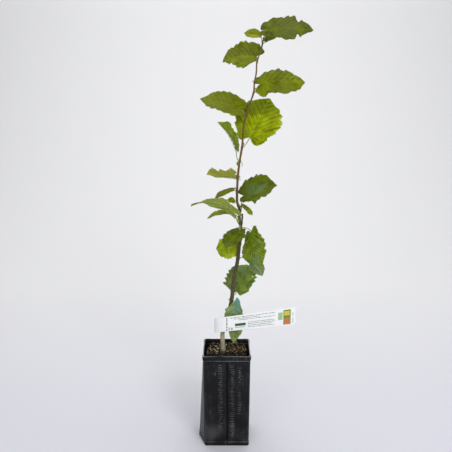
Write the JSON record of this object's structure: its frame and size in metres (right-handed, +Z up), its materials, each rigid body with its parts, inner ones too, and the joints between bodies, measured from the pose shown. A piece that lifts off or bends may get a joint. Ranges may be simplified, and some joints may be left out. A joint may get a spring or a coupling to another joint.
{
  "type": "potted hazel sapling",
  "caption": "Young hazel with one thin crooked stem and broad toothed leaves, in a square black nursery pot, with a plain tag looped round its foot.",
  "frame": {"origin": "centre of the pot's flat underside, which stands on the floor", "axes": "+Z up along the stem; the pot's front face looks along -Y; the stem leans and the tag reaches towards +X"},
  "size_m": [0.1935, 0.1158, 0.7153],
  "materials": {
    "pot": "moulded black plastic, lightly scuffed",
    "mix": "loose bark chips",
    "bark": "thin brown bark",
    "leaf": "soft living leaf, slightly downy",
    "tag": "white sheet plastic with a satin surface"
  },
  "bodies": {
    "root": {"pot": "pot", "potting_mix": "mix", "trunk": "bark", "leaf_01_hanging": "leaf", "leaf_02_low_back": "leaf", "leaf_03_right_low": "leaf", "leaf_04_left_behind": "leaf", "leaf_05_left_front": "leaf", "leaf_06_right_veined": "leaf", "leaf_07_left_under": "leaf", "leaf_08_left_arching": "leaf", "leaf_09_right_small": "leaf", "leaf_10_left_bud": "leaf", "leaf_11_right_dark": "leaf", "leaf_12_left_folded": "leaf", "leaf_13_left_pale": "leaf", "leaf_14_left_upright": "leaf", "leaf_15_right_round": "leaf", "leaf_16_left_broad": "leaf", "leaf_17_right_broad": "leaf", "leaf_18_left_high": "leaf", "leaf_19_top_small_left": "leaf", "leaf_20_top_small_right": "leaf", "leaf_21_top_right": "leaf", "tag": "tag"}
  },
  "joints": []
}
